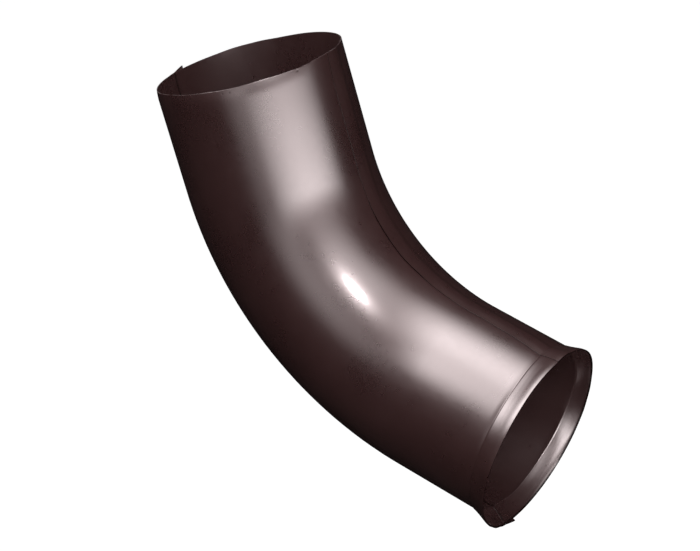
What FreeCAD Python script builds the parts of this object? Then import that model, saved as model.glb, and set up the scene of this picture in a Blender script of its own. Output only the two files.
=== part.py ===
"""Downspout elbow: a round 60 degree bend pressed as two half-shells that lap along the throat and the heel.

Axes: the origin is the centre of the inlet mouth, Z points up out of the inlet along its axis, the tube runs
down and bends towards X, and the front half lies on the -Y side of the bend's plane.
"""
import FreeCAD, Part
import math
import os

import Sketcher

doc = FreeCAD.newDocument("DownspoutElbow")
sizes = doc.addObject("Spreadsheet::Sheet", "Sizes")

SIZES = (
    # name, value, what it sets; lengths in mm and turns in degrees
    ("inlet_outer_radius", 50.0, "outside of the inlet leg, a 100 mm pipe size"),
    ("outlet_outer_radius", 48.0, "outside of the outlet leg, which the bend narrows to"),
    ("sheet_thickness", 0.6, "painted steel sheet"),
    ("inlet_leg", 60.0, "straight length from the inlet mouth to the bend"),
    ("outlet_leg", 47.0, "straight length from the bend to the lip"),
    ("bend_radius", 143.0, "of the centre line"),
    ("bend_turn", 60.0, "from the inlet axis to the outlet axis"),
    ("lip_length", 10.0, "flared lip at the outlet, along its axis"),
    ("lip_step_height", 0.5, "how far the lip steps out of the leg"),
    ("lip_step_length", 0.5, "length that the step takes"),
    ("lip_rim_radius", 51.0, "outside of the lip at its rim"),
    ("lap_turn", 9.0, "how far the covered edge reaches under the lapping one"),
    ("lap_slack_turn", 1.0, "from the covered edge to the joggle"),
    ("joggle_turn", 3.0, "turn over which the lapping edge steps out"),
    ("lap_clearance", 0.1, "between the two sheets in a lap"),
    ("ear_height", 1.5, "how far the lapping corner stands past the rim at the heel"),
    ("ear_width", 7.0, "length along the rim over which that corner rises"),
    ("ear_tip_width", 1.0, "width left at that corner's top"),
)
for row, (name, value, note) in enumerate(SIZES, start=1):
    sizes.set("A%d" % row, name)
    sizes.set("B%d" % row, str(value))
    sizes.set("C%d" % row, note)
    sizes.setAlias("B%d" % row, name)
doc.recompute()


def size(name):
    """The value of a named size, to start a sketch close to its solved shape."""
    return float(sizes.get(name))


# Expressions that several features share
HALF_TURN = 180.0
BEND = "Sizes.bend_turn * 1 deg"
INLET = "Sizes.inlet_outer_radius"
OUTLET = "Sizes.outlet_outer_radius"
STEPPED = "(Sizes.outlet_outer_radius + Sizes.lip_step_height)"
RIM = "Sizes.lip_rim_radius"
THICK = "Sizes.sheet_thickness"
JOGGLE = "(Sizes.sheet_thickness + Sizes.lap_clearance)"
LEG_END = "Sizes.outlet_leg"
STEP_END = "(Sizes.outlet_leg + Sizes.lip_step_length)"
LIP_END = "(Sizes.outlet_leg + Sizes.lip_length)"

# Where the two seams lie around the section, in degrees from the bend's inside towards +Y
THROAT_TURN = "0"
HEEL_TURN = "180"

# Each half's bend is swept in this many equal parts, so that it narrows evenly along its arc
BEND_PARTS = 2


def evaluate(expression):
    """The number that an expression of named sizes gives."""
    return float(FreeCAD.Units.Quantity(sizes.evalExpression(expression)).Value)


def inlet_station(height):
    """Station on the inlet's axis, at a height above the mouth as an expression."""
    return "0 mm", "(%s) * 1 mm" % height, None


def bend_station(share):
    """Station on the bend's arc, at a share of its turn."""
    turn = "%s * %s" % (share, BEND)
    along_x = "Sizes.bend_radius * (1 - cos(%s)) * 1 mm" % turn
    along_z = "-(Sizes.inlet_leg + Sizes.bend_radius * sin(%s)) * 1 mm" % turn
    return along_x, along_z, turn


def outlet_station(past_bend):
    """Station on the outlet's axis, at a length past the end of the bend as an expression."""
    along_x = "(Sizes.bend_radius * (1 - cos(%s)) + %s * sin(%s)) * 1 mm" % (BEND, past_bend, BEND)
    along_z = "-(Sizes.inlet_leg + Sizes.bend_radius * sin(%s) + %s * cos(%s)) * 1 mm" % (BEND, past_bend, BEND)
    return along_x, along_z, BEND


def origin_plane(body, role):
    """The body's own origin plane with that role."""
    return [feature for feature in body.Origin.OriginFeatures if feature.Role == role][0]


def place_sketch(sketch, body, station):
    """Attach a sketch to the body's XY plane and carry it along the centre line, square to it."""
    along_x, along_z, turn = station
    sketch.AttachmentSupport = [(origin_plane(body, "XY_Plane"), "")]
    sketch.MapMode = "FlatFace"
    tilt = -evaluate(turn) if turn else 0
    sketch.AttachmentOffset = FreeCAD.Placement(FreeCAD.Vector(), FreeCAD.Rotation(FreeCAD.Vector(0, 1, 0), tilt))
    sketch.setExpression(".AttachmentOffset.Base.x", along_x)
    sketch.setExpression(".AttachmentOffset.Base.z", along_z)
    if turn:
        sketch.setExpression(".AttachmentOffset.Rotation.Angle", "-(%s)" % turn)


def polar(radius, turn):
    """The sketch point at a radius and a turn in degrees."""
    angle = math.radians(turn)
    return FreeCAD.Vector(radius * math.cos(angle), radius * math.sin(angle), 0)


def wall_section(body, name, first_turn, outer, station):
    """Cross-section of one half-shell at a station of the centre line.

    The lapping edge starts at first_turn, outside the other half. It joggles in to the plain wall, which ends
    past the far seam as that seam's covered edge. outer is the plain wall's outer radius as an expression.
    """
    sketch = body.newObject("Sketcher::SketchObject", name)
    place_sketch(sketch, body, station)
    turns = (
        "%s" % first_turn,
        "%s + Sizes.lap_turn + Sizes.lap_slack_turn" % first_turn,
        "%s + Sizes.lap_turn + Sizes.lap_slack_turn + Sizes.joggle_turn" % first_turn,
        "%s + %s + Sizes.lap_turn" % (first_turn, HALF_TURN),
    )
    lap_edge, lap_root, plain_root, plain_edge = [evaluate(turn) for turn in turns]
    radii = (
        "%s - %s" % (outer, THICK),
        outer,
        "%s - %s + %s" % (outer, THICK, JOGGLE),
        "%s + %s" % (outer, JOGGLE),
    )
    plain_in, plain_out, lap_in, lap_out = [evaluate(radius) for radius in radii]

    def arc(radius, start, end):
        circle = Part.Circle(FreeCAD.Vector(), FreeCAD.Vector(0, 0, 1), radius)
        return sketch.addGeometry(Part.ArcOfCircle(circle, math.radians(start), math.radians(end)), False)

    def line(start, end, construction=False):
        return sketch.addGeometry(Part.LineSegment(start, end), construction)

    inner_lap = arc(lap_in, lap_edge, lap_root)
    inner_joggle = line(polar(lap_in, lap_root), polar(plain_in, plain_root))
    inner_wall = arc(plain_in, plain_root, plain_edge)
    plain_end = line(polar(plain_in, plain_edge), polar(plain_out, plain_edge))
    outer_wall = arc(plain_out, plain_root, plain_edge)
    outer_joggle = line(polar(lap_out, lap_root), polar(plain_out, plain_root))
    outer_lap = arc(lap_out, lap_edge, lap_root)
    lap_end = line(polar(lap_in, lap_edge), polar(lap_out, lap_edge))
    lap_ray = line(FreeCAD.Vector(), polar(lap_out, lap_root), True)
    wall_ray = line(FreeCAD.Vector(), polar(plain_out, plain_root), True)

    START, END, CENTRE, ORIGIN = 1, 2, 3, -1
    for curve in (inner_lap, inner_wall, outer_wall, outer_lap):
        sketch.addConstraint(Sketcher.Constraint("Coincident", curve, CENTRE, ORIGIN, START))
    for first, first_end, second, second_end in (
        (inner_lap, END, inner_joggle, START),
        (inner_joggle, END, inner_wall, START),
        (inner_wall, END, plain_end, START),
        (plain_end, END, outer_wall, END),
        (outer_wall, START, outer_joggle, END),
        (outer_joggle, START, outer_lap, END),
        (outer_lap, START, lap_end, END),
        (lap_end, START, inner_lap, START),
        (lap_ray, START, ORIGIN, START),
        (lap_ray, END, outer_joggle, START),
        (wall_ray, START, ORIGIN, START),
        (wall_ray, END, outer_wall, START),
    ):
        sketch.addConstraint(Sketcher.Constraint("Coincident", first, first_end, second, second_end))
    for point_of, point, on in (
        (ORIGIN, START, plain_end),
        (ORIGIN, START, lap_end),
        (inner_lap, END, lap_ray),
        (inner_wall, START, wall_ray),
    ):
        sketch.addConstraint(Sketcher.Constraint("PointOnObject", point_of, point, on))
    for label, curve, radius, value in (
        ("plain_inner", inner_wall, radii[0], plain_in),
        ("plain_outer", outer_wall, radii[1], plain_out),
        ("lap_inner", inner_lap, radii[2], lap_in),
        ("lap_outer", outer_lap, radii[3], lap_out),
    ):
        index = sketch.addConstraint(Sketcher.Constraint("Radius", curve, value))
        sketch.renameConstraint(index, label)
        sketch.setExpression("Constraints." + label, "(%s) * 1 mm" % radius)
    for label, ray, turn, value in (
        ("lap_edge", lap_end, turns[0], lap_edge),
        ("lap_root", lap_ray, turns[1], lap_root),
        ("plain_root", wall_ray, turns[2], plain_root),
        ("plain_edge", plain_end, turns[3], plain_edge),
    ):
        index = sketch.addConstraint(Sketcher.Constraint("Angle", ray, math.radians(value)))
        sketch.renameConstraint(index, label)
        sketch.setExpression("Constraints." + label, "(%s) * 1 deg" % turn)
    return sketch


def bend_path(body, name, first_share, last_share):
    """Arc of the centre line between two shares of the bend's turn, in the body's XZ plane."""
    sketch = body.newObject("Sketcher::SketchObject", name)
    sketch.AttachmentSupport = [(origin_plane(body, "XZ_Plane"), "")]
    sketch.MapMode = "FlatFace"
    radius, leg, turn = size("bend_radius"), size("inlet_leg"), size("bend_turn")
    centre = FreeCAD.Vector(radius, -leg, 0)
    circle = Part.Circle(centre, FreeCAD.Vector(0, 0, 1), radius)
    first, last = [math.radians(HALF_TURN + share * turn) for share in (first_share, last_share)]
    arc = sketch.addGeometry(Part.ArcOfCircle(circle, first, last), False)
    spokes = [sketch.addGeometry(Part.LineSegment(centre, circle.value(stop)), True) for stop in (first, last)]
    START, END, CENTRE, ORIGIN = 1, 2, 3, -1
    for spoke, end in zip(spokes, (START, END)):
        sketch.addConstraint(Sketcher.Constraint("Coincident", spoke, START, arc, CENTRE))
        sketch.addConstraint(Sketcher.Constraint("Coincident", spoke, END, arc, end))
    share_turn = "(%s + %s * Sizes.bend_turn) * 1 deg"
    centre_x = Sketcher.Constraint("DistanceX", ORIGIN, START, arc, CENTRE, radius)
    centre_drop = Sketcher.Constraint("DistanceY", arc, CENTRE, ORIGIN, START, leg)
    for label, constraint, expression in (
        ("radius", Sketcher.Constraint("Radius", arc, radius), "Sizes.bend_radius * 1 mm"),
        ("centre_x", centre_x, "Sizes.bend_radius * 1 mm"),
        ("centre_drop", centre_drop, "Sizes.inlet_leg * 1 mm"),
        ("first_turn", Sketcher.Constraint("Angle", spokes[0], first), share_turn % (HALF_TURN, first_share)),
        ("last_turn", Sketcher.Constraint("Angle", spokes[1], last), share_turn % (HALF_TURN, last_share)),
    ):
        index = sketch.addConstraint(constraint)
        sketch.renameConstraint(index, label)
        sketch.setExpression("Constraints." + label, expression)
    return sketch


def lap_section(body, name, first_turn, outer, width, station):
    """Cross-section of the lapping edge alone, from the cut edge over a width along the rim."""
    sketch = body.newObject("Sketcher::SketchObject", name)
    place_sketch(sketch, body, station)
    inner_lap = "%s - %s + %s" % (outer, THICK, JOGGLE)
    outer_lap = "%s + %s" % (outer, JOGGLE)
    foot_turn = "%s + %s / %s * %s / pi" % (first_turn, width, outer, HALF_TURN)
    low, high = evaluate(inner_lap), evaluate(outer_lap)
    first, last = evaluate("%s" % first_turn), evaluate(foot_turn)

    def arc(radius):
        circle = Part.Circle(FreeCAD.Vector(), FreeCAD.Vector(0, 0, 1), radius)
        return sketch.addGeometry(Part.ArcOfCircle(circle, math.radians(first), math.radians(last)), False)

    near, far = arc(low), arc(high)
    cut_edge = sketch.addGeometry(Part.LineSegment(polar(low, first), polar(high, first)), False)
    foot = sketch.addGeometry(Part.LineSegment(polar(low, last), polar(high, last)), False)
    START, END, CENTRE, ORIGIN = 1, 2, 3, -1
    for curve in (near, far):
        sketch.addConstraint(Sketcher.Constraint("Coincident", curve, CENTRE, ORIGIN, START))
    for one, one_end, other, other_end in (
        (near, START, cut_edge, START),
        (far, START, cut_edge, END),
        (near, END, foot, START),
        (far, END, foot, END),
    ):
        sketch.addConstraint(Sketcher.Constraint("Coincident", one, one_end, other, other_end))
    for edge in (cut_edge, foot):
        sketch.addConstraint(Sketcher.Constraint("PointOnObject", ORIGIN, START, edge))
    for label, constraint, expression in (
        ("lap_inner", Sketcher.Constraint("Radius", near, low), "(%s) * 1 mm" % inner_lap),
        ("lap_outer", Sketcher.Constraint("Radius", far, high), "(%s) * 1 mm" % outer_lap),
        ("cut_edge", Sketcher.Constraint("Angle", cut_edge, math.radians(first)), "%s * 1 deg" % first_turn),
        ("foot", Sketcher.Constraint("Angle", foot, math.radians(last)), "(%s) * 1 deg" % foot_turn),
    ):
        index = sketch.addConstraint(constraint)
        sketch.renameConstraint(index, label)
        sketch.setExpression("Constraints." + label, expression)
    return sketch


def ear(body, name, first_turn, outer, base, top):
    """Corner of the lapping edge that stands past a rim, highest at the cut edge."""
    foot = lap_section(body, name + "Foot", first_turn, outer, "Sizes.ear_width", base)
    tip = lap_section(body, name + "Tip", first_turn, outer, "Sizes.ear_tip_width", top)
    corner = body.newObject("PartDesign::AdditiveLoft", name)
    corner.Profile = foot
    corner.Sections = [(tip, [""])]
    corner.Ruled = True
    return corner


def half_shell(name, label, first_turn, with_ears):
    """One pressed half of the elbow, from the inlet mouth to the lip's rim."""
    body = doc.addObject("PartDesign::Body", name)
    body.Label = label
    mouth = wall_section(body, name + "Mouth", first_turn, INLET, inlet_station("0"))
    leg = body.newObject("PartDesign::Pad", name + "InletLeg")
    leg.Profile = mouth
    leg.Reversed = True
    leg.setExpression("Length", "Sizes.inlet_leg * 1 mm")

    shares = [part / BEND_PARTS for part in range(BEND_PARTS + 1)]
    stations = []
    for part, share in enumerate(shares):
        outer = "(%s + %s * (%s - %s))" % (INLET, share, OUTLET, INLET)
        stations.append(wall_section(body, "%sBendSection%d" % (name, part), first_turn, outer, bend_station(share)))
    for part in range(BEND_PARTS):
        bend = body.newObject("PartDesign::AdditivePipe", "%sBend%d" % (name, part + 1))
        bend.Profile = stations[part]
        path = bend_path(body, "%sBendPath%d" % (name, part + 1), shares[part], shares[part + 1])
        bend.Spine = (path, ["Edge1"])
        bend.Sections = [(stations[part + 1], [""])]
        bend.Transformation = "Multisection"
        bend.Mode = "Frenet"

    outlet = body.newObject("PartDesign::Pad", name + "OutletLeg")
    outlet.Profile = stations[-1]
    outlet.Reversed = True
    outlet.setExpression("Length", "Sizes.outlet_leg * 1 mm")

    lip = body.newObject("PartDesign::AdditiveLoft", name + "Lip")
    lip.Profile = wall_section(body, name + "LipRoot", first_turn, OUTLET, outlet_station(LEG_END))
    lip.Sections = [
        (wall_section(body, name + "LipStep", first_turn, STEPPED, outlet_station(STEP_END)), [""]),
        (wall_section(body, name + "LipRim", first_turn, RIM, outlet_station(LIP_END)), [""]),
    ]
    lip.Ruled = True
    body.Tip = lip
    if with_ears:
        past_rim = "(%s + Sizes.ear_height)" % LIP_END
        ear(body, name + "InletEar", first_turn, INLET, inlet_station("0"), inlet_station("Sizes.ear_height"))
        body.Tip = ear(body, name + "OutletEar", first_turn, RIM, outlet_station(LIP_END), outlet_station(past_rim))
    return body


back = half_shell("BackHalf", "back_half_shell", THROAT_TURN, False)
front = half_shell("FrontHalf", "front_half_shell", HEEL_TURN, True)
doc.recompute()

for feature in doc.Objects:
    if "Invalid" in feature.State or "Error" in feature.State:
        raise RuntimeError("%s did not recompute: %s" % (feature.Label, feature.State))
    if hasattr(feature, "Shape") and feature.TypeId != "App::Plane" and feature.TypeId != "App::Line":
        if feature.Shape.isNull() or not feature.Shape.isValid():
            raise RuntimeError("%s has no valid shape" % feature.Label)

os.makedirs("parts", exist_ok=True)
for body, node in ((back, "back_half_shell"), (front, "front_half_shell")):
    if len(body.Shape.Solids) != 1:
        raise RuntimeError("%s is not one solid" % node)
    body.Shape.exportStep("parts/%s.step" % node)
    print(node, round(body.Shape.Volume), "mm3", len(body.Shape.Faces), "faces")
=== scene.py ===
"""Downspout elbow: two pressed half-shells of brown painted steel, lapped along the throat and the heel."""
import logging
import math
from dataclasses import dataclass, field
from enum import Enum
from typing import Iterable, Sequence, Union

import bpy
from mathutils import Matrix, Vector


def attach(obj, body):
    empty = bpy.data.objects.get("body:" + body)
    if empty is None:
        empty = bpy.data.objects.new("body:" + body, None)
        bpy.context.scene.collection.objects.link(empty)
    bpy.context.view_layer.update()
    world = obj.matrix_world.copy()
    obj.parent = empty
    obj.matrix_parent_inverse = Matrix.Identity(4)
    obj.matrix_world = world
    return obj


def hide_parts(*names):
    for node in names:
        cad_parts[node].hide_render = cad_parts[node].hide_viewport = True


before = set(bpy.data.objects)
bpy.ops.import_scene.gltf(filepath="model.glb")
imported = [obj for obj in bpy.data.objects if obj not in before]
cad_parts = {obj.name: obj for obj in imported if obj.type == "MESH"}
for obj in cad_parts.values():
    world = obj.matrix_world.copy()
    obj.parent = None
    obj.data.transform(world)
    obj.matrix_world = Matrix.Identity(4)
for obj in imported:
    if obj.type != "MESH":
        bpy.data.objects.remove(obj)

log = logging.getLogger("downspout_elbow")

MM = 0.001
HALF_TURN = 180.0
FULL_TURN = 360.0
BLACK = (0.0, 0.0, 0.0)
WHITE = (1.0, 1.0, 1.0)
NOISE_MIDDLE = 0.5

# The photograph's width and focal length in pixels, and the camera's sensor in mm
IMAGE_WIDTH = 700
FOCAL_PIXELS = 2150.0
SENSOR_WIDTH = 36.0

# The Mix node's sockets for colours, by index because others on it have the same names
MIX_FIRST, MIX_SECOND, MIX_SHOWN = 6, 7, 2

Number = Union[int, float]
Path = Sequence[tuple[float, float]]


class Half(Enum):
    """Which half of the elbow, and the turn at which its lapping edge starts."""

    BACK = 0.0
    FRONT = HALF_TURN


class Side(Enum):
    """Which face of the sheet a point is on, or which corner of a cut edge along a seam."""

    OUTER = "outer face"
    INNER = "inner face"
    OUTER_CORNER = "outer corner of a cut edge"
    INNER_CORNER = "inner corner of a cut edge"

    @property
    def outward(self) -> bool:
        """Whether it lies on the sheet's outside."""
        return self in (Side.OUTER, Side.OUTER_CORNER)

    @property
    def cut(self) -> bool:
        """Whether it is a corner of a cut edge."""
        return self in (Side.OUTER_CORNER, Side.INNER_CORNER)


class Maths(Enum):
    """Math node operations that the expressions use."""

    ADD = "ADD"
    SUBTRACT = "SUBTRACT"
    MULTIPLY = "MULTIPLY"
    DIVIDE = "DIVIDE"
    MAXIMUM = "MAXIMUM"
    MINIMUM = "MINIMUM"
    ABSOLUTE = "ABSOLUTE"


class Value:
    """A socket in a node tree. Python's operators on it add Math nodes."""

    def __init__(self, nodes: "Nodes", socket: bpy.types.NodeSocket) -> None:
        """Keep the tree's builder and the output socket.

        Args:
            nodes: the node tree's builder.
            socket: the output that holds the number.
        """
        self.nodes = nodes
        self.socket = socket

    def _join(self, operation: Maths, *numbers: Union["Value", Number]) -> "Value":
        """One Math node.

        Args:
            operation: what the node does.
            numbers: its inputs, from the left.

        Returns:
            The node's output.
        """
        return self.nodes.node("ShaderNodeMath", {"operation": operation.value}, dict(enumerate(numbers)))

    def __add__(self, other: Union["Value", Number]) -> "Value":
        """Sum with another number."""
        return self._join(Maths.ADD, self, other)

    def __radd__(self, other: Number) -> "Value":
        """Sum with a number on the left."""
        return self._join(Maths.ADD, other, self)

    def __sub__(self, other: Union["Value", Number]) -> "Value":
        """Difference from another number."""
        return self._join(Maths.SUBTRACT, self, other)

    def __rsub__(self, other: Number) -> "Value":
        """Difference of a number on the left."""
        return self._join(Maths.SUBTRACT, other, self)

    def __mul__(self, other: Union["Value", Number]) -> "Value":
        """Product with another number."""
        return self._join(Maths.MULTIPLY, self, other)

    def __rmul__(self, other: Number) -> "Value":
        """Product with a number on the left."""
        return self._join(Maths.MULTIPLY, other, self)

    def __truediv__(self, other: Union["Value", Number]) -> "Value":
        """Quotient by another number."""
        return self._join(Maths.DIVIDE, self, other)

    def __rtruediv__(self, other: Number) -> "Value":
        """Quotient of a number on the left."""
        return self._join(Maths.DIVIDE, other, self)

    def __abs__(self) -> "Value":
        """The number without its sign."""
        return self._join(Maths.ABSOLUTE, self)

    def clamped(self) -> "Value":
        """The number held between 0 and 1."""
        low = self._join(Maths.MAXIMUM, self, 0.0)
        return low._join(Maths.MINIMUM, low, 1.0)


class Nodes:
    """Builds one node tree, of a material, a lamp or the world."""

    def __init__(self, tree: bpy.types.NodeTree) -> None:
        """Keep the tree."""
        self.tree = tree

    def node(self, kind: str, settings: dict, inputs: dict, output: Union[int, str] = 0) -> Value:
        """Add a node, set it and feed it.

        Args:
            kind: the node's type.
            settings: the node's own options by name.
            inputs: numbers, vectors, colours or links by socket name or index.
            output: which output is wanted.

        Returns:
            The wanted output.
        """
        made = self.tree.nodes.new(kind)
        for name, setting in settings.items():
            setattr(made, name, setting)
        for name, fed in inputs.items():
            self.feed(made.inputs[name], fed)
        return Value(self, made.outputs[output])

    def feed(self, socket: bpy.types.NodeSocket, fed: object) -> None:
        """Link or set one input.

        Args:
            socket: the input.
            fed: a Value to link, or a plain value to set.
        """
        if isinstance(fed, Value):
            self.tree.links.new(fed.socket, socket)
        elif isinstance(fed, tuple) and len(fed) == 3 and socket.type == "RGBA":
            socket.default_value = (*fed, 1.0)
        else:
            socket.default_value = fed

    def mask(self, level: Value, low: float, high: float) -> Value:
        """A level stretched so that low gives 0 and high gives 1.

        Args:
            level: what to stretch.
            low: the level that gives 0.
            high: the level that gives 1.

        Returns:
            The mask.
        """
        return ((level - low) / (high - low)).clamped()

    def bell(self, level: Value, soft: float) -> Value:
        """A soft hump over a level from 0 to 1, highest at the middle.

        Args:
            level: runs from 0 to 1 across the hump.
            soft: share of each half over which it fades.

        Returns:
            The hump, from 0 at both ends to 1.
        """
        rise = ((1 - abs(level * 2 - 1)) / soft).clamped()
        return rise * rise * (3 - rise * 2)

    def seen_directly(self) -> Value:
        """1 for a ray from the camera or one that gloss or glass sends on, else 0."""
        kinds = ("Is Camera Ray", "Is Glossy Ray", "Is Transmission Ray")
        camera, glossy, through = [self.node("ShaderNodeLightPath", {}, {}, kind) for kind in kinds]
        return (camera + glossy + through).clamped()


class Shader(Nodes):
    """Builds one material's node tree."""

    def __init__(self, name: str) -> None:
        """Make an empty material with a Principled shader on its output.

        Args:
            name: the material's name.
        """
        self.material = bpy.data.materials.new(name)
        self.material.use_nodes = True
        super().__init__(self.material.node_tree)
        self.principled = self.tree.nodes["Principled BSDF"]

    def set(self, **inputs: object) -> None:
        """Feed the Principled shader's inputs, with underscores for the spaces in their names."""
        for name, fed in inputs.items():
            self.feed(self.principled.inputs[name.replace("_", " ")], fed)

    def cover(self, share: Value, colour: tuple) -> None:
        """Lay a dull dark colour over part of the surface, as painted shade.

        Args:
            share: 1 where the painted shade shows, 0 where the Principled shader does.
            colour: the painted shade's dull dark colour.
        """
        gloss = Value(self, self.principled.outputs["BSDF"])
        dull = self.node("ShaderNodeBsdfDiffuse", {}, {"Color": colour})
        covered = self.node("ShaderNodeMixShader", {}, {0: share, 1: gloss, 2: dull})
        self.feed(self.tree.nodes["Material Output"].inputs["Surface"], covered)

    def place(self) -> Value:
        """Where a point is in the object's own frame, in metres."""
        return self.node("ShaderNodeTexCoord", {}, {}, "Object")

    def noise(self, where: Value, per_metre: float, detail: float, rough: float) -> Value:
        """Smooth noise from 0 to 1.

        Args:
            where: the coordinates.
            per_metre: how many waves fit in a metre.
            detail: how many finer layers it has.
            rough: how strong those are.

        Returns:
            The noise's level.
        """
        fed = {"Vector": where, "Scale": per_metre, "Detail": detail, "Roughness": rough}
        return self.node("ShaderNodeTexNoise", {}, fed)

    def mix(self, factor: Value, first: object, second: object) -> Value:
        """Blend two colours.

        Args:
            factor: 0 for the first, 1 for the second.
            first: a colour or a link.
            second: a colour or a link.

        Returns:
            The blended colour.
        """
        fed = {0: factor, MIX_FIRST: first, MIX_SECOND: second}
        return self.node("ShaderNodeMix", {"data_type": "RGBA"}, fed, MIX_SHOWN)

    def attribute(self, name: str) -> Value:
        """A number from 0 to 1 kept on the mesh's points."""
        return self.node("ShaderNodeAttribute", {"attribute_name": name}, {}, "Fac").clamped()

    def bump(self, height: Value) -> Value:
        """The normal of a surface that stands out by a height in metres."""
        return self.node("ShaderNodeBump", {}, {"Height": height, "Distance": 1.0, "Strength": 1.0})


@dataclass(frozen=True)
class BrownPaint:
    """Semi-gloss dark brown paint on sheet steel, with fine orange peel, rubbed edges, and painted shade
    over the dull dark cut edges of the seams, the lip's rim and the nicks.
    """

    colour: tuple = (0.029, 0.0110, 0.0110)
    warm: tuple = (0.036, 0.0142, 0.0138)
    edge: tuple = (0.055, 0.033, 0.032)
    # Painted shade: a dull dark colour over the seams' dark cut edges and the shadow in their crevices, the
    # lip's rim and the nicks
    painted_shade: tuple = (0.008, 0.0035, 0.0035)

    roughness: float = 0.27
    gloss_index: float = 1.9
    specular: float = 1.0
    sheen: tuple = (1.0, 0.85, 0.85)
    coat: float = 0.7
    coat_index: float = 1.6
    coat_roughness: float = 0.13

    # Noises: waves in a metre, finer layers and their strength
    cloud_noise: tuple = (26.0, 3.0, 0.5)
    cloud_range: tuple = (0.35, 0.68)
    cloud_roughness: float = 0.05
    peel_noise: tuple = (360.0, 1.5, 0.4)
    peel_depth: float = 0.013 * MM
    peel_roughness: float = 0.08
    wear_noise: tuple = (170.0, 3.0, 0.6)
    wear_range: tuple = (0.38, 0.60)
    wear_colour: float = 0.8
    wear_roughness: float = 0.25

    # Nicks under the inlet's rim: x, y, z and reach, in mm
    nicks: tuple = (
        (46.9, -17.6, -1.7, 0.9),
        (23.0, -44.4, -1.9, 0.8),
        (19.6, -46.0, -1.8, 0.7),
        (50.6, -1.3, -1.2, 0.8),
    )
    nick_depth: float = 0.08 * MM
    # Share of painted shade that darkens the middles of the nicks
    nick_shade: float = 0.8

    def _nicks(self, shader: Shader, where: Value) -> Value:
        """Small nicks under the inlet's rim, which are dented and get painted shade.

        Args:
            shader: the paint's shader.
            where: the coordinates.

        Returns:
            1 at a nick's middle, 0 outside.
        """
        pits = []
        for across, away, up, reach in self.nicks:
            middle = {0: where, 1: (across * MM, away * MM, up * MM)}
            far = shader.node("ShaderNodeVectorMath", {"operation": "DISTANCE"}, middle, "Value")
            pits.append((1 - far / (reach * MM)).clamped())
        return sum(pits[1:], pits[0])

    def material(self) -> bpy.types.Material:
        """Build the paint.

        Returns:
            The finished material.
        """
        shader = Shader("brown_paint")
        where = shader.place()
        cloud = shader.mask(shader.noise(where, *self.cloud_noise), *self.cloud_range)
        peel = shader.noise(where, *self.peel_noise)
        rubbed = shader.mask(shader.noise(where, *self.wear_noise), *self.wear_range)
        worn = shader.attribute("edge") * rubbed
        nicks = self._nicks(shader, where)
        painted = shader.mix(cloud, self.colour, self.warm)
        uneven = (peel - NOISE_MIDDLE) * self.peel_roughness + cloud * self.cloud_roughness
        shader.set(
            Base_Color=shader.mix(worn * self.wear_colour, painted, self.edge),
            Roughness=uneven + worn * self.wear_roughness + self.roughness,
            Normal=shader.bump(peel * self.peel_depth - nicks * self.nick_depth),
            IOR=self.gloss_index,
            Specular_IOR_Level=self.specular,
            Specular_Tint=self.sheen,
            Coat_Weight=self.coat,
            Coat_IOR=self.coat_index,
            Coat_Roughness=self.coat_roughness,
        )
        # Painted shade: a dull dark colour laid over the seams' cut edges and crevices, the lip's rim and
        # the nicks
        shader.cover((shader.attribute("seam") + nicks * self.nick_shade).clamped(), self.painted_shade)
        return shader.material


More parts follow.
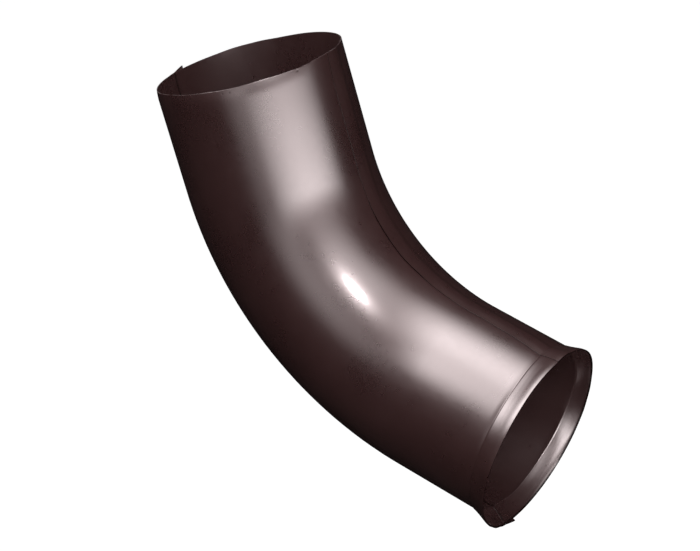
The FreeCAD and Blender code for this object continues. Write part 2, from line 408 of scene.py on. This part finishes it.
@dataclass
class ElbowForm:
    """The elbow's centre line and outside, with the unevenness of the one in the photograph."""

    inlet_leg: float = 60.0 * MM
    bend_radius: float = 143.0 * MM
    bend_turn: float = 60.0
    outlet_leg: float = 47.0 * MM
    inlet_radius: float = 50.0 * MM
    outlet_radius: float = 48.0 * MM
    sheet: float = 0.6 * MM

    # The lip: a shallow groove before it, a small step, then the flare
    lip_length: float = 10.0 * MM
    groove: float = 0.16 * MM
    groove_width: float = 2.6 * MM
    lip_step: float = 0.3 * MM
    step_length: float = 0.7 * MM
    rim_radius: float = 51.0 * MM

    # Share of the flare, by share of the flare's length
    lip_profile: tuple = ((0.0, 0.0), (0.25, 0.23), (0.5, 0.5), (0.72, 0.78), (0.86, 0.93), (1.0, 1.0))

    # Extra radius of the rim in mm, by turn from the throat in degrees
    flare_path: tuple = (
        (0, 0.2), (45, 0.0), (75, -0.6), (90, 0.0), (105, 1.0), (125, 1.7), (145, 2.1), (185, 2.1),
        (205, 2.2), (216, 1.1), (230, 0.2), (263, -0.4), (276, 0.2), (295, -0.4), (318, -0.2), (332, 0.5),
        (360, 0.2),
    )

    # How much further down the lip starts in mm, by turn from the throat in degrees
    lead_path: tuple = (
        (0, -0.7), (45, -0.5), (79, 1.8), (168, 1.7), (200, 0.0), (224, -0.7), (250, 0.0), (326, 0.2),
        (360, -0.7),
    )

    @property
    def bend_end(self) -> float:
        """Length of the centre line up to the end of the bend."""
        return self.inlet_leg + self.bend_radius * math.radians(self.bend_turn)

    @property
    def lip_start(self) -> float:
        """Length of the centre line up to the lip."""
        return self.bend_end + self.outlet_leg

    @property
    def length(self) -> float:
        """Whole length of the centre line."""
        return self.lip_start + self.lip_length

    def station(self, along: float) -> tuple[Vector, Vector]:
        """Where the centre line is, and which way its throat side looks.

        Args:
            along: length from the inlet's mouth.

        Returns:
            The centre, and the unit vector towards the throat.
        """
        full = math.radians(self.bend_turn)
        turn = min(max((along - self.inlet_leg) / self.bend_radius, 0.0), full)
        before = min(along, self.inlet_leg)
        past = max(along - self.bend_end, 0.0)
        x = self.bend_radius * (1 - math.cos(turn)) + past * math.sin(turn)
        z = -before - self.bend_radius * math.sin(turn) - past * math.cos(turn)
        return Vector((x, 0.0, z)), Vector((math.cos(turn), 0.0, math.sin(turn)))

    def outer_radius(self, along: float, turn: float) -> float:
        """Outside radius of the plain wall and of the lip, which was flared a little unevenly.

        Args:
            along: length from the inlet's mouth.
            turn: round the tube from the throat, in degrees.

        Returns:
            The radius.
        """
        share = min(max((along - self.inlet_leg) / (self.bend_end - self.inlet_leg), 0.0), 1.0)
        wall = self.inlet_radius + (self.outlet_radius - self.inlet_radius) * share
        start = self.lip_start + waypoint(self.lead_path, turn % FULL_TURN) * MM
        past = along - start
        if past <= 0:
            sink = max(0.0, 1 + past / self.groove_width)
            return wall - self.groove * sink * sink
        step = (self.lip_step + self.groove) * smooth(past / self.step_length) - self.groove
        cone = (past - self.step_length) / (self.length - start - self.step_length)
        rim = self.rim_radius + waypoint(self.flare_path, turn % FULL_TURN) * MM
        flare = rim - self.outlet_radius - self.lip_step
        return wall + step + flare * waypoint(self.lip_profile, cone, straight=True)


def smooth(share: float) -> float:
    """An S-shaped rise from 0 to 1 as share goes from 0 to 1."""
    share = min(max(share, 0.0), 1.0)
    return share * share * (3 - 2 * share)


def waypoint(path: Path, place: float, straight: bool = False) -> float:
    """A value between waypoints.

    Args:
        path: pairs of place and value, in order.
        place: where the value is wanted.
        straight: whether it runs in straight lines, not in soft waves.

    Returns:
        The value there.
    """
    if place <= path[0][0]:
        return path[0][1]
    for (low, first), (high, last) in zip(path, path[1:]):
        if place <= high:
            share = (place - low) / (high - low)
            return first + (last - first) * (share if straight else smooth(share))
    return path[-1][1]


def spread(first: float, last: float, step: float) -> list[float]:
    """Even values from first to last, no further apart than step.

    Args:
        first: the first value.
        last: the last value.
        step: the largest gap.

    Returns:
        The values, both ends included.
    """
    count = max(1, math.ceil(abs(last - first) / step))
    return [first + (last - first) * place / count for place in range(count)] + [last]


@dataclass
class HalfShell:
    """One pressed sheet: a lapping edge that joggles in to the plain wall, and a covered edge.

    Turns are in degrees, from the lapping edge or, in a path, from the throat.
    """

    half: Half
    form: ElbowForm = field(default_factory=ElbowForm)

    # The lap: its width, the slack behind it and the joggle down to the plain wall
    lap_turn: float = 9.0
    slack_turn: float = 1.0
    joggle_turn: float = 7.0
    lap_clearance: float = 0.1 * MM

    # The corner of the lapping edge that stands past both rims on the front half
    ear_height: float = 1.5 * MM
    ear_width: float = 7.0 * MM
    ear_tip: float = 1.0 * MM
    ear_fade: float = 9.0 * MM

    # Rounded cut edges at the inlet, the lip and the seams, and edges rolled in along the seams
    rim_round: float = 0.06 * MM
    lip_round: float = 0.03 * MM
    seam_round: float = 0.02 * MM
    lapping_turn: float = 7.0
    covered_turn: float = 6.0
    covered_roll: float = 0.36 * MM

    # The lapping edge's roll in mm, and the seams' extra turn in degrees, by mm from the mouth
    roll_path: tuple = ((0, 0.4), (80, 0.4), (105, 0.1), (166, 0.05), (176, 0.35), (267, 0.35))
    heel_path: tuple = ((0, -4.0), (267, 5.5))
    throat_path: tuple = (
        (0, 4.5), (20, 2.9), (57, 2.9), (75, 2.6), (105, 1.3), (140, 1.1), (166, 2.4), (190, 3.3),
        (217, 3.3), (237, 2.0), (258, -1.0), (267, -2.8),
    )

    # How far the inlet's rim stands up in mm, by turn; its near side also leans
    mouth_path: tuple = (
        (0, 0.0), (67, 0.0), (90, 0.1), (108, 0.0), (125, 0.5), (138, 0.7), (154, 0.4), (172, 0.3),
        (190, 0.1), (228, 0.0), (250, 0.5), (277, 0.3), (299, -0.2), (315, 0.0), (331, -0.3), (342, -0.6),
        (355, 0.0),
    )
    mouth_lean: float = 0.8 * MM
    lean_fade: float = 6.0 * MM

    # How strong the dull dark painted shade is on the cut edges along the seams, by mm from the mouth, and
    # at the lip's rim; it stands for the edges' dark colour and the shadow in the seams' crevices
    seam_shade_path: tuple = (
        (0, 0.86), (98, 0.86), (106, 1.0), (160, 1.0), (170, 0.9), (174, 0.9), (176, 1.0), (188, 1.0),
        (191, 0.9), (210, 0.93), (267, 0.95),
    )
    covered_shade: float = 0.8
    lip_shade: float = 0.9
    lip_line: float = 0.6 * MM

    # The mesh's spacing round the section, in degrees
    edge_turns: tuple = (0.0, 0.3, 0.6, 1.0, 1.5, 2.2, 3.0)
    lap_from: float = 4.0
    lap_spacing: float = 1.5
    joggle_spacing: float = 0.7
    wall_spacing: float = 2.0

    # The mesh's spacing along the centre line, closer at the mouth and at the lip. The groove's two
    # places and the step's first are so far before the lip's start, the step's last and the flare's past it
    rim_spacing: float = 0.18 * MM
    mouth_places: tuple = (1 * MM, 2 * MM, 3.5 * MM, 5 * MM, 7 * MM, 9 * MM, 12 * MM)
    leg_from: float = 16 * MM
    leg_spacing: float = 8 * MM
    bend_spacing: float = 2.0
    lip_lead: float = 4 * MM
    groove_from: float = 3.2 * MM
    groove_to: float = 1.2 * MM
    groove_spacing: float = 0.5 * MM
    step_from: float = 1.0 * MM
    step_to: float = 2.6 * MM
    step_spacing: float = 0.2 * MM
    flare_from: float = 3.2 * MM
    flare_gap: float = 0.5 * MM
    flare_spacing: float = 0.7 * MM

    @property
    def last_turn(self) -> float:
        """Turn at which the covered edge ends."""
        return HALF_TURN + self.lap_turn

    def section(self) -> list[tuple[float, float, Side]]:
        """The sheet's cross-section as a closed loop.

        Returns:
            Turn, height of the sheet's outer face over the plain wall, and side of the sheet.
        """
        root = self.lap_turn + self.slack_turn
        plain = root + self.joggle_turn
        lift = self.form.sheet + self.lap_clearance
        lap = [*self.edge_turns, *spread(self.lap_from, root, self.lap_spacing)[:-1]]
        joggle = spread(root, plain, self.joggle_spacing)[:-1]
        face = [(turn, lift) for turn in lap]
        face += [(turn, lift * (1 - smooth((turn - root) / self.joggle_turn))) for turn in joggle]
        face += [(turn, 0.0) for turn in spread(plain, self.last_turn, self.wall_spacing)]
        loop = [(turn, rise, Side.OUTER) for turn, rise in face]
        loop += [(self.last_turn, 0.0, side) for side in (Side.OUTER_CORNER, Side.INNER_CORNER)]
        loop += [(turn, rise, Side.INNER) for turn, rise in reversed(face)]
        loop += [(0.0, lift, side) for side in (Side.INNER_CORNER, Side.OUTER_CORNER)]
        return loop

    def stations(self) -> list[tuple[float, float]]:
        """Places along the centre line, each with how far the sheet's outer face is drawn in there.

        Returns:
            Length from the inlet's mouth, and inset.
        """
        form, soft = self.form, self.rim_round
        lip, end = form.lip_start, form.length
        bend_step = form.bend_radius * math.radians(self.bend_spacing)
        places = [0.0, soft, self.rim_spacing, *self.mouth_places]
        places += spread(self.leg_from, form.inlet_leg, self.leg_spacing)
        places += spread(form.inlet_leg, form.bend_end, bend_step)[1:]
        places += spread(form.bend_end, lip - self.lip_lead, self.leg_spacing)[1:]
        places += spread(lip - self.groove_from, lip - self.groove_to, self.groove_spacing)
        places += spread(lip - self.step_from, lip + self.step_to, self.step_spacing)
        places += spread(lip + self.flare_from, end - self.flare_gap, self.flare_spacing)
        places += [end - self.rim_spacing, end - soft, end]
        insets = {0.0: soft, end: self.lip_round}
        return [(place, insets.get(place, 0.0)) for place in places]

    def ear(self, turn: float, radius: float) -> float:
        """How far the lapping corner stands past a rim.

        Args:
            turn: from the lapping edge.
            radius: of the rim.

        Returns:
            The height.
        """
        if self.half is not Half.FRONT:
            return 0.0
        away = math.radians(turn) * radius
        share = (self.ear_width - away) / (self.ear_width - self.ear_tip)
        return self.ear_height * min(max(share, 0.0), 1.0)

    def drift(self, along: float, turn: float) -> float:
        """How far the seams wander round the tube, as the pressed edges do along a real elbow.

        Args:
            along: length from the inlet's mouth.
            turn: from the throat.

        Returns:
            The extra turn.
        """
        throat, heel = waypoint(self.throat_path, along / MM), waypoint(self.heel_path, along / MM)
        swing = math.cos(math.radians(turn))
        return (throat + heel) / 2 + (throat - heel) / 2 * swing

    def roll(self, along: float, turn: float, side: Side) -> float:
        """How far the sheet is rolled in along its two seam edges.

        Args:
            along: length from the inlet's mouth.
            turn: from the lapping edge.
            side: where on the sheet the point is.

        Returns:
            The depth below the plain sheet.
        """
        covered = self.last_turn - turn
        if side.outward and turn < self.lapping_turn:
            return waypoint(self.roll_path, along / MM) * MM * (1 - smooth(turn / self.lapping_turn))
        if not side.outward and covered < self.covered_turn:
            return -self.covered_roll * (1 - smooth(covered / self.covered_turn))
        return 0.0

    def point(self, along: float, inset: float, turn: float, rise: float, side: Side) -> Vector:
        """One point of the sheet's surface.

        Args:
            along: length from the inlet's mouth.
            inset: how far the outer face is drawn in at this station.
            turn: from the lapping edge.
            rise: of the outer face over the plain wall.
            side: where on the sheet the point is.

        Returns:
            Where it is.
        """
        form, soft = self.form, self.seam_round
        plain_turn = self.half.value + turn
        wandered = plain_turn + self.drift(along, plain_turn)
        radius = form.outer_radius(along, wandered)
        ear = self.ear(turn, radius)
        near_mouth = smooth(1 - along / self.ear_fade)
        near_lip = smooth(1 - (form.length - along) / self.ear_fade)
        past_mouth = ear + waypoint(self.mouth_path, wandered % FULL_TURN) * MM
        centre, throat = form.station(along + ear * near_lip - past_mouth * near_mouth)
        depth = {
            Side.OUTER: inset,
            Side.OUTER_CORNER: max(soft, inset),
            Side.INNER: form.sheet,
            Side.INNER_CORNER: form.sheet - soft,
        }[side]
        nudge = 0.0 if side.cut else {0.0: 1.0, self.last_turn: -1.0}.get(turn, 0.0)
        angle = math.radians(wandered + math.degrees(soft / radius) * nudge)
        outward = throat * math.cos(angle) + Vector((0.0, 1.0, 0.0)) * math.sin(angle)
        nearness = smooth((1 - math.sin(angle)) / 2)
        lean = self.mouth_lean * max(0.0, 1 - along / self.lean_fade) ** 2 * nearness
        height = radius + rise - depth - self.roll(along, turn, side)
        return centre + outward * height + Vector((0.0, lean, 0.0))

    def painted_shade(self, along: float, turn: float, side: Side) -> float:
        """How much painted shade shows at a point: the dark cut edges and the shadow in the seams'
        crevices, and a dark line on and just inside the lip's rim.

        Args:
            along: length from the inlet's mouth.
            turn: from the lapping edge.
            side: where on the sheet the point is.

        Returns:
            1 for full painted shade, 0 for plain paint.
        """
        if self.form.length - along <= (0.0 if side.outward else self.lip_line):
            return self.lip_shade
        if along == 0.0:
            return 0.0
        cut = {0.0: 1.0, self.last_turn: self.covered_shade}
        return cut.get(turn, 0.0) * waypoint(self.seam_shade_path, along / MM)

    def build(self, name: str, finish: bpy.types.Material) -> bpy.types.Object:
        """Make the sheet as a closed mesh.

        Args:
            name: the piece's name.
            finish: its material.

        Returns:
            The piece.
        """
        loop, places = self.section(), self.stations()
        count, last = len(loop), len(places) - 1
        faces, crisp = [], []
        for ring in range(last):
            for spot in range(count):
                after = (spot + 1) % count
                low, high = ring * count, (ring + 1) * count
                faces.append((low + spot, low + after, high + after, high + spot))
                crisp.append(loop[spot][2].cut or loop[after][2].cut)
        faces += [face[::-1] for face in self._rim(count, 0)] + self._rim(count, last * count)
        crisp += [True] * (len(faces) - len(crisp))
        points = [self.point(along, inset, *spot) for along, inset in places for spot in loop]
        mesh = bpy.data.meshes.new(name)
        mesh.from_pydata([tuple(point) for point in points], [], faces)
        mesh.validate()
        mesh.update()
        edges = [float(along == 0.0) for along, inset in places for spot in loop]
        # The seam attribute carries the share of painted shade, along the seams and at the lip's rim
        seams = [self.painted_shade(along, turn, side) for along, inset in places for turn, rise, side in loop]
        for label, levels in (("edge", edges), ("seam", seams)):
            mesh.attributes.new(label, "FLOAT", "POINT").data.foreach_set("value", levels)
        mesh.polygons.foreach_set("use_smooth", [not sharp for sharp in crisp])
        mesh.materials.append(finish)
        piece = bpy.data.objects.new(name, mesh)
        bpy.context.scene.collection.objects.link(piece)
        return piece

    @staticmethod
    def _rim(count: int, start: int) -> list[tuple[int, ...]]:
        """Faces across the sheet's thickness at one end.

        Args:
            count: points in the loop.
            start: index of the end ring's first point.

        Returns:
            The faces.
        """
        # The loop ends with the lapping edge's corners, so its first point lies over the third from last
        opposite = count - 3
        across = [(spot, opposite - spot, opposite - spot - 1, spot + 1) for spot in range(count // 2 - 2)]
        across.append((0, count - 1, count - 2, opposite))
        return [tuple(start + corner for corner in face) for face in across]


@dataclass(frozen=True)
class Lamp:
    """A soft rectangular lamp that looks at the elbow, placed by its angles as seen from there."""

    name: str
    azimuth: float
    elevation: float
    width: float
    height: float
    radiance: float
    soft: float = 1.0
    away: float = 1.5

    def _fade(self, data: bpy.types.Light) -> None:
        """Let the lamp's face fade towards its edges, like cloth in front of a bulb.

        Args:
            data: the lamp.
        """
        data.use_nodes = True
        nodes = Nodes(data.node_tree)
        across = nodes.node("ShaderNodeNewGeometry", {}, {}, "Parametric")
        sides = [nodes.node("ShaderNodeSeparateXYZ", {}, {"Vector": across}, axis) for axis in ("X", "Y")]
        face = nodes.bell(sides[0], self.soft) * nodes.bell(sides[1], self.soft)
        nodes.feed(data.node_tree.nodes["Emission"].inputs["Strength"], face)

    def build(self, target: Vector) -> None:
        """Hang the lamp.

        Args:
            target: the point that it looks at.
        """
        data = bpy.data.lights.new(self.name, "AREA")
        data.shape = "RECTANGLE"
        data.size, data.size_y = self.width, self.height
        data.energy = self.radiance * math.pi * self.width * self.height
        self._fade(data)
        lamp = bpy.data.objects.new(self.name, data)
        bpy.context.scene.collection.objects.link(lamp)
        turn, rise = math.radians(self.azimuth), math.radians(self.elevation)
        out = Vector((math.sin(turn) * math.cos(rise), -math.cos(turn) * math.cos(rise), math.sin(rise)))
        lamp.location = target + out * self.away
        lamp.rotation_mode = "QUATERNION"
        lamp.rotation_quaternion = (-out).to_track_quat("-Z", "Y")


@dataclass
class Studio:
    """Camera, lamps, black flags, floor and world."""

    # The camera's place and its axes, fitted to the elbow's outline in the photograph
    eye: tuple = (0.745310, -0.807763, 0.217788)
    right: tuple = (0.773015, 0.577090, -0.263467)
    up: tuple = (0.015689, 0.397792, 0.917341)
    back: tuple = (0.634194, -0.713252, 0.298445)
    nearest: float = 0.05
    furthest: float = 60.0

    target: tuple = (0.03, 0.0, -0.12)
    lamps: tuple = (
        Lamp("main_panel", azimuth=71.0, elevation=-19.0, width=3.4, height=0.9, radiance=5.8),
        Lamp("middle_panel", azimuth=66.0, elevation=26.0, width=2.2, height=2.1, radiance=1.9),
        Lamp("right_panel", azimuth=92.0, elevation=40.0, width=1.5, height=0.9, radiance=0.8),
        Lamp("left_panel", azimuth=21.0, elevation=8.0, width=1.5, height=2.0, radiance=0.8),
        Lamp("hot_lamp", azimuth=54.0, elevation=29.0, width=0.24, height=0.38, radiance=28.0, soft=0.4),
        Lamp("upper_left_panel", azimuth=-18.0, elevation=52.0, width=1.8, height=1.3, radiance=5.0),
        Lamp("top_panel", azimuth=60.0, elevation=84.0, width=2.8, height=2.5, radiance=4.6),
    )
    fill: float = 0.02

    floor_level: float = -1.35
    floor_radius: float = 12.0
    floor_colour: tuple = (0.30, 0.30, 0.30)
    floor_glow: float = 1.0
    flag_radius: float = 2.4
    flag_top: float = 2.6
    flag_gap: float = 0.01
    flag_colour: tuple = (0.01, 0.01, 0.01)
    sides: int = 64

    def camera(self) -> None:
        """Set the camera at the photograph's viewing angle."""
        data = bpy.data.cameras.new("camera")
        data.sensor_fit = "HORIZONTAL"
        data.sensor_width = SENSOR_WIDTH
        data.lens = FOCAL_PIXELS / IMAGE_WIDTH * SENSOR_WIDTH
        data.clip_start, data.clip_end = self.nearest, self.furthest
        camera = bpy.data.objects.new("camera", data)
        bpy.context.scene.collection.objects.link(camera)
        axes = Matrix((self.right, self.up, self.back)).transposed()
        camera.matrix_world = Matrix.Translation(Vector(self.eye)) @ axes.to_4x4()
        bpy.context.scene.camera = camera

    def _plain(self, name: str, points: list, faces: list, finish: bpy.types.Material) -> bpy.types.Object:
        """A stage piece from points and faces.

        Args:
            name: its name.
            points: its corners.
            faces: its faces.
            finish: its material.

        Returns:
            The piece.
        """
        mesh = bpy.data.meshes.new(name)
        mesh.from_pydata(points, [], faces)
        mesh.update()
        mesh.materials.append(finish)
        piece = bpy.data.objects.new(name, mesh)
        bpy.context.scene.collection.objects.link(piece)
        return piece

    def ring(self, radius: float, level: float) -> list[tuple[float, float, float]]:
        """Points round a level circle below or above the elbow."""
        turns = [2 * math.pi * side / self.sides for side in range(self.sides)]
        return [(radius * math.cos(turn), radius * math.sin(turn), level) for turn in turns]

    def floor(self) -> None:
        """A pale floor, white to the camera and in reflections."""
        shader = Shader("pale_floor")
        shader.set(
            Base_Color=self.floor_colour,
            Roughness=1.0,
            Specular_IOR_Level=0.0,
            Emission_Color=shader.mix(shader.seen_directly(), BLACK, WHITE),
            Emission_Strength=self.floor_glow,
        )
        points = self.ring(self.floor_radius, self.floor_level)
        self._plain("floor", points, [tuple(range(self.sides))], shader.material)

    def flags(self) -> None:
        """Black cards round the elbow that only its gloss sees, which keep its sides dark."""
        shader = Shader("black_card")
        shader.set(Base_Color=self.flag_colour, Roughness=1.0, Specular_IOR_Level=0.0)
        low, high = self.floor_level + self.flag_gap, self.flag_top
        points = self.ring(self.flag_radius, low) + self.ring(self.flag_radius, high)
        count = self.sides
        pairs = [(side, (side + 1) % count) for side in range(count)]
        faces = [(side, after, count + after, count + side) for side, after in pairs]
        faces += [tuple(range(count)), tuple(range(count, 2 * count))]
        cards = self._plain("black_flags", points, faces, shader.material)
        cards.visible_camera = False
        cards.visible_diffuse = False
        cards.visible_shadow = False
        cards.visible_transmission = False

    def world(self) -> None:
        """White to the camera and in reflections, and a dim even fill otherwise."""
        world = bpy.data.worlds.new("studio")
        world.use_nodes = True
        bpy.context.scene.world = world
        nodes = Nodes(world.node_tree)
        background = world.node_tree.nodes["Background"]
        nodes.feed(background.inputs["Color"], WHITE)
        nodes.feed(background.inputs["Strength"], nodes.seen_directly() * (1 - self.fill) + self.fill)

    def build(self) -> None:
        """Make the whole studio."""
        bpy.context.scene.view_settings.view_transform = "Standard"
        self.camera()
        for lamp in self.lamps:
            lamp.build(Vector(self.target))
        self.floor()
        self.flags()
        self.world()


def main() -> None:
    """Build the elbow and its studio."""
    logging.basicConfig(level=logging.INFO)
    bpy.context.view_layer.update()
    paint = BrownPaint().material()
    for half, node in ((Half.FRONT, "front_half_shell"), (Half.BACK, "back_half_shell")):
        name = node.replace("_shell", "_sheet")
        piece = HalfShell(half).build(name, paint)
        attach(piece, "root")
        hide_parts(node)
        log.info("built %s with %d faces", name, len(piece.data.polygons))
    Studio().build()


if __name__ == "__main__":
    main()
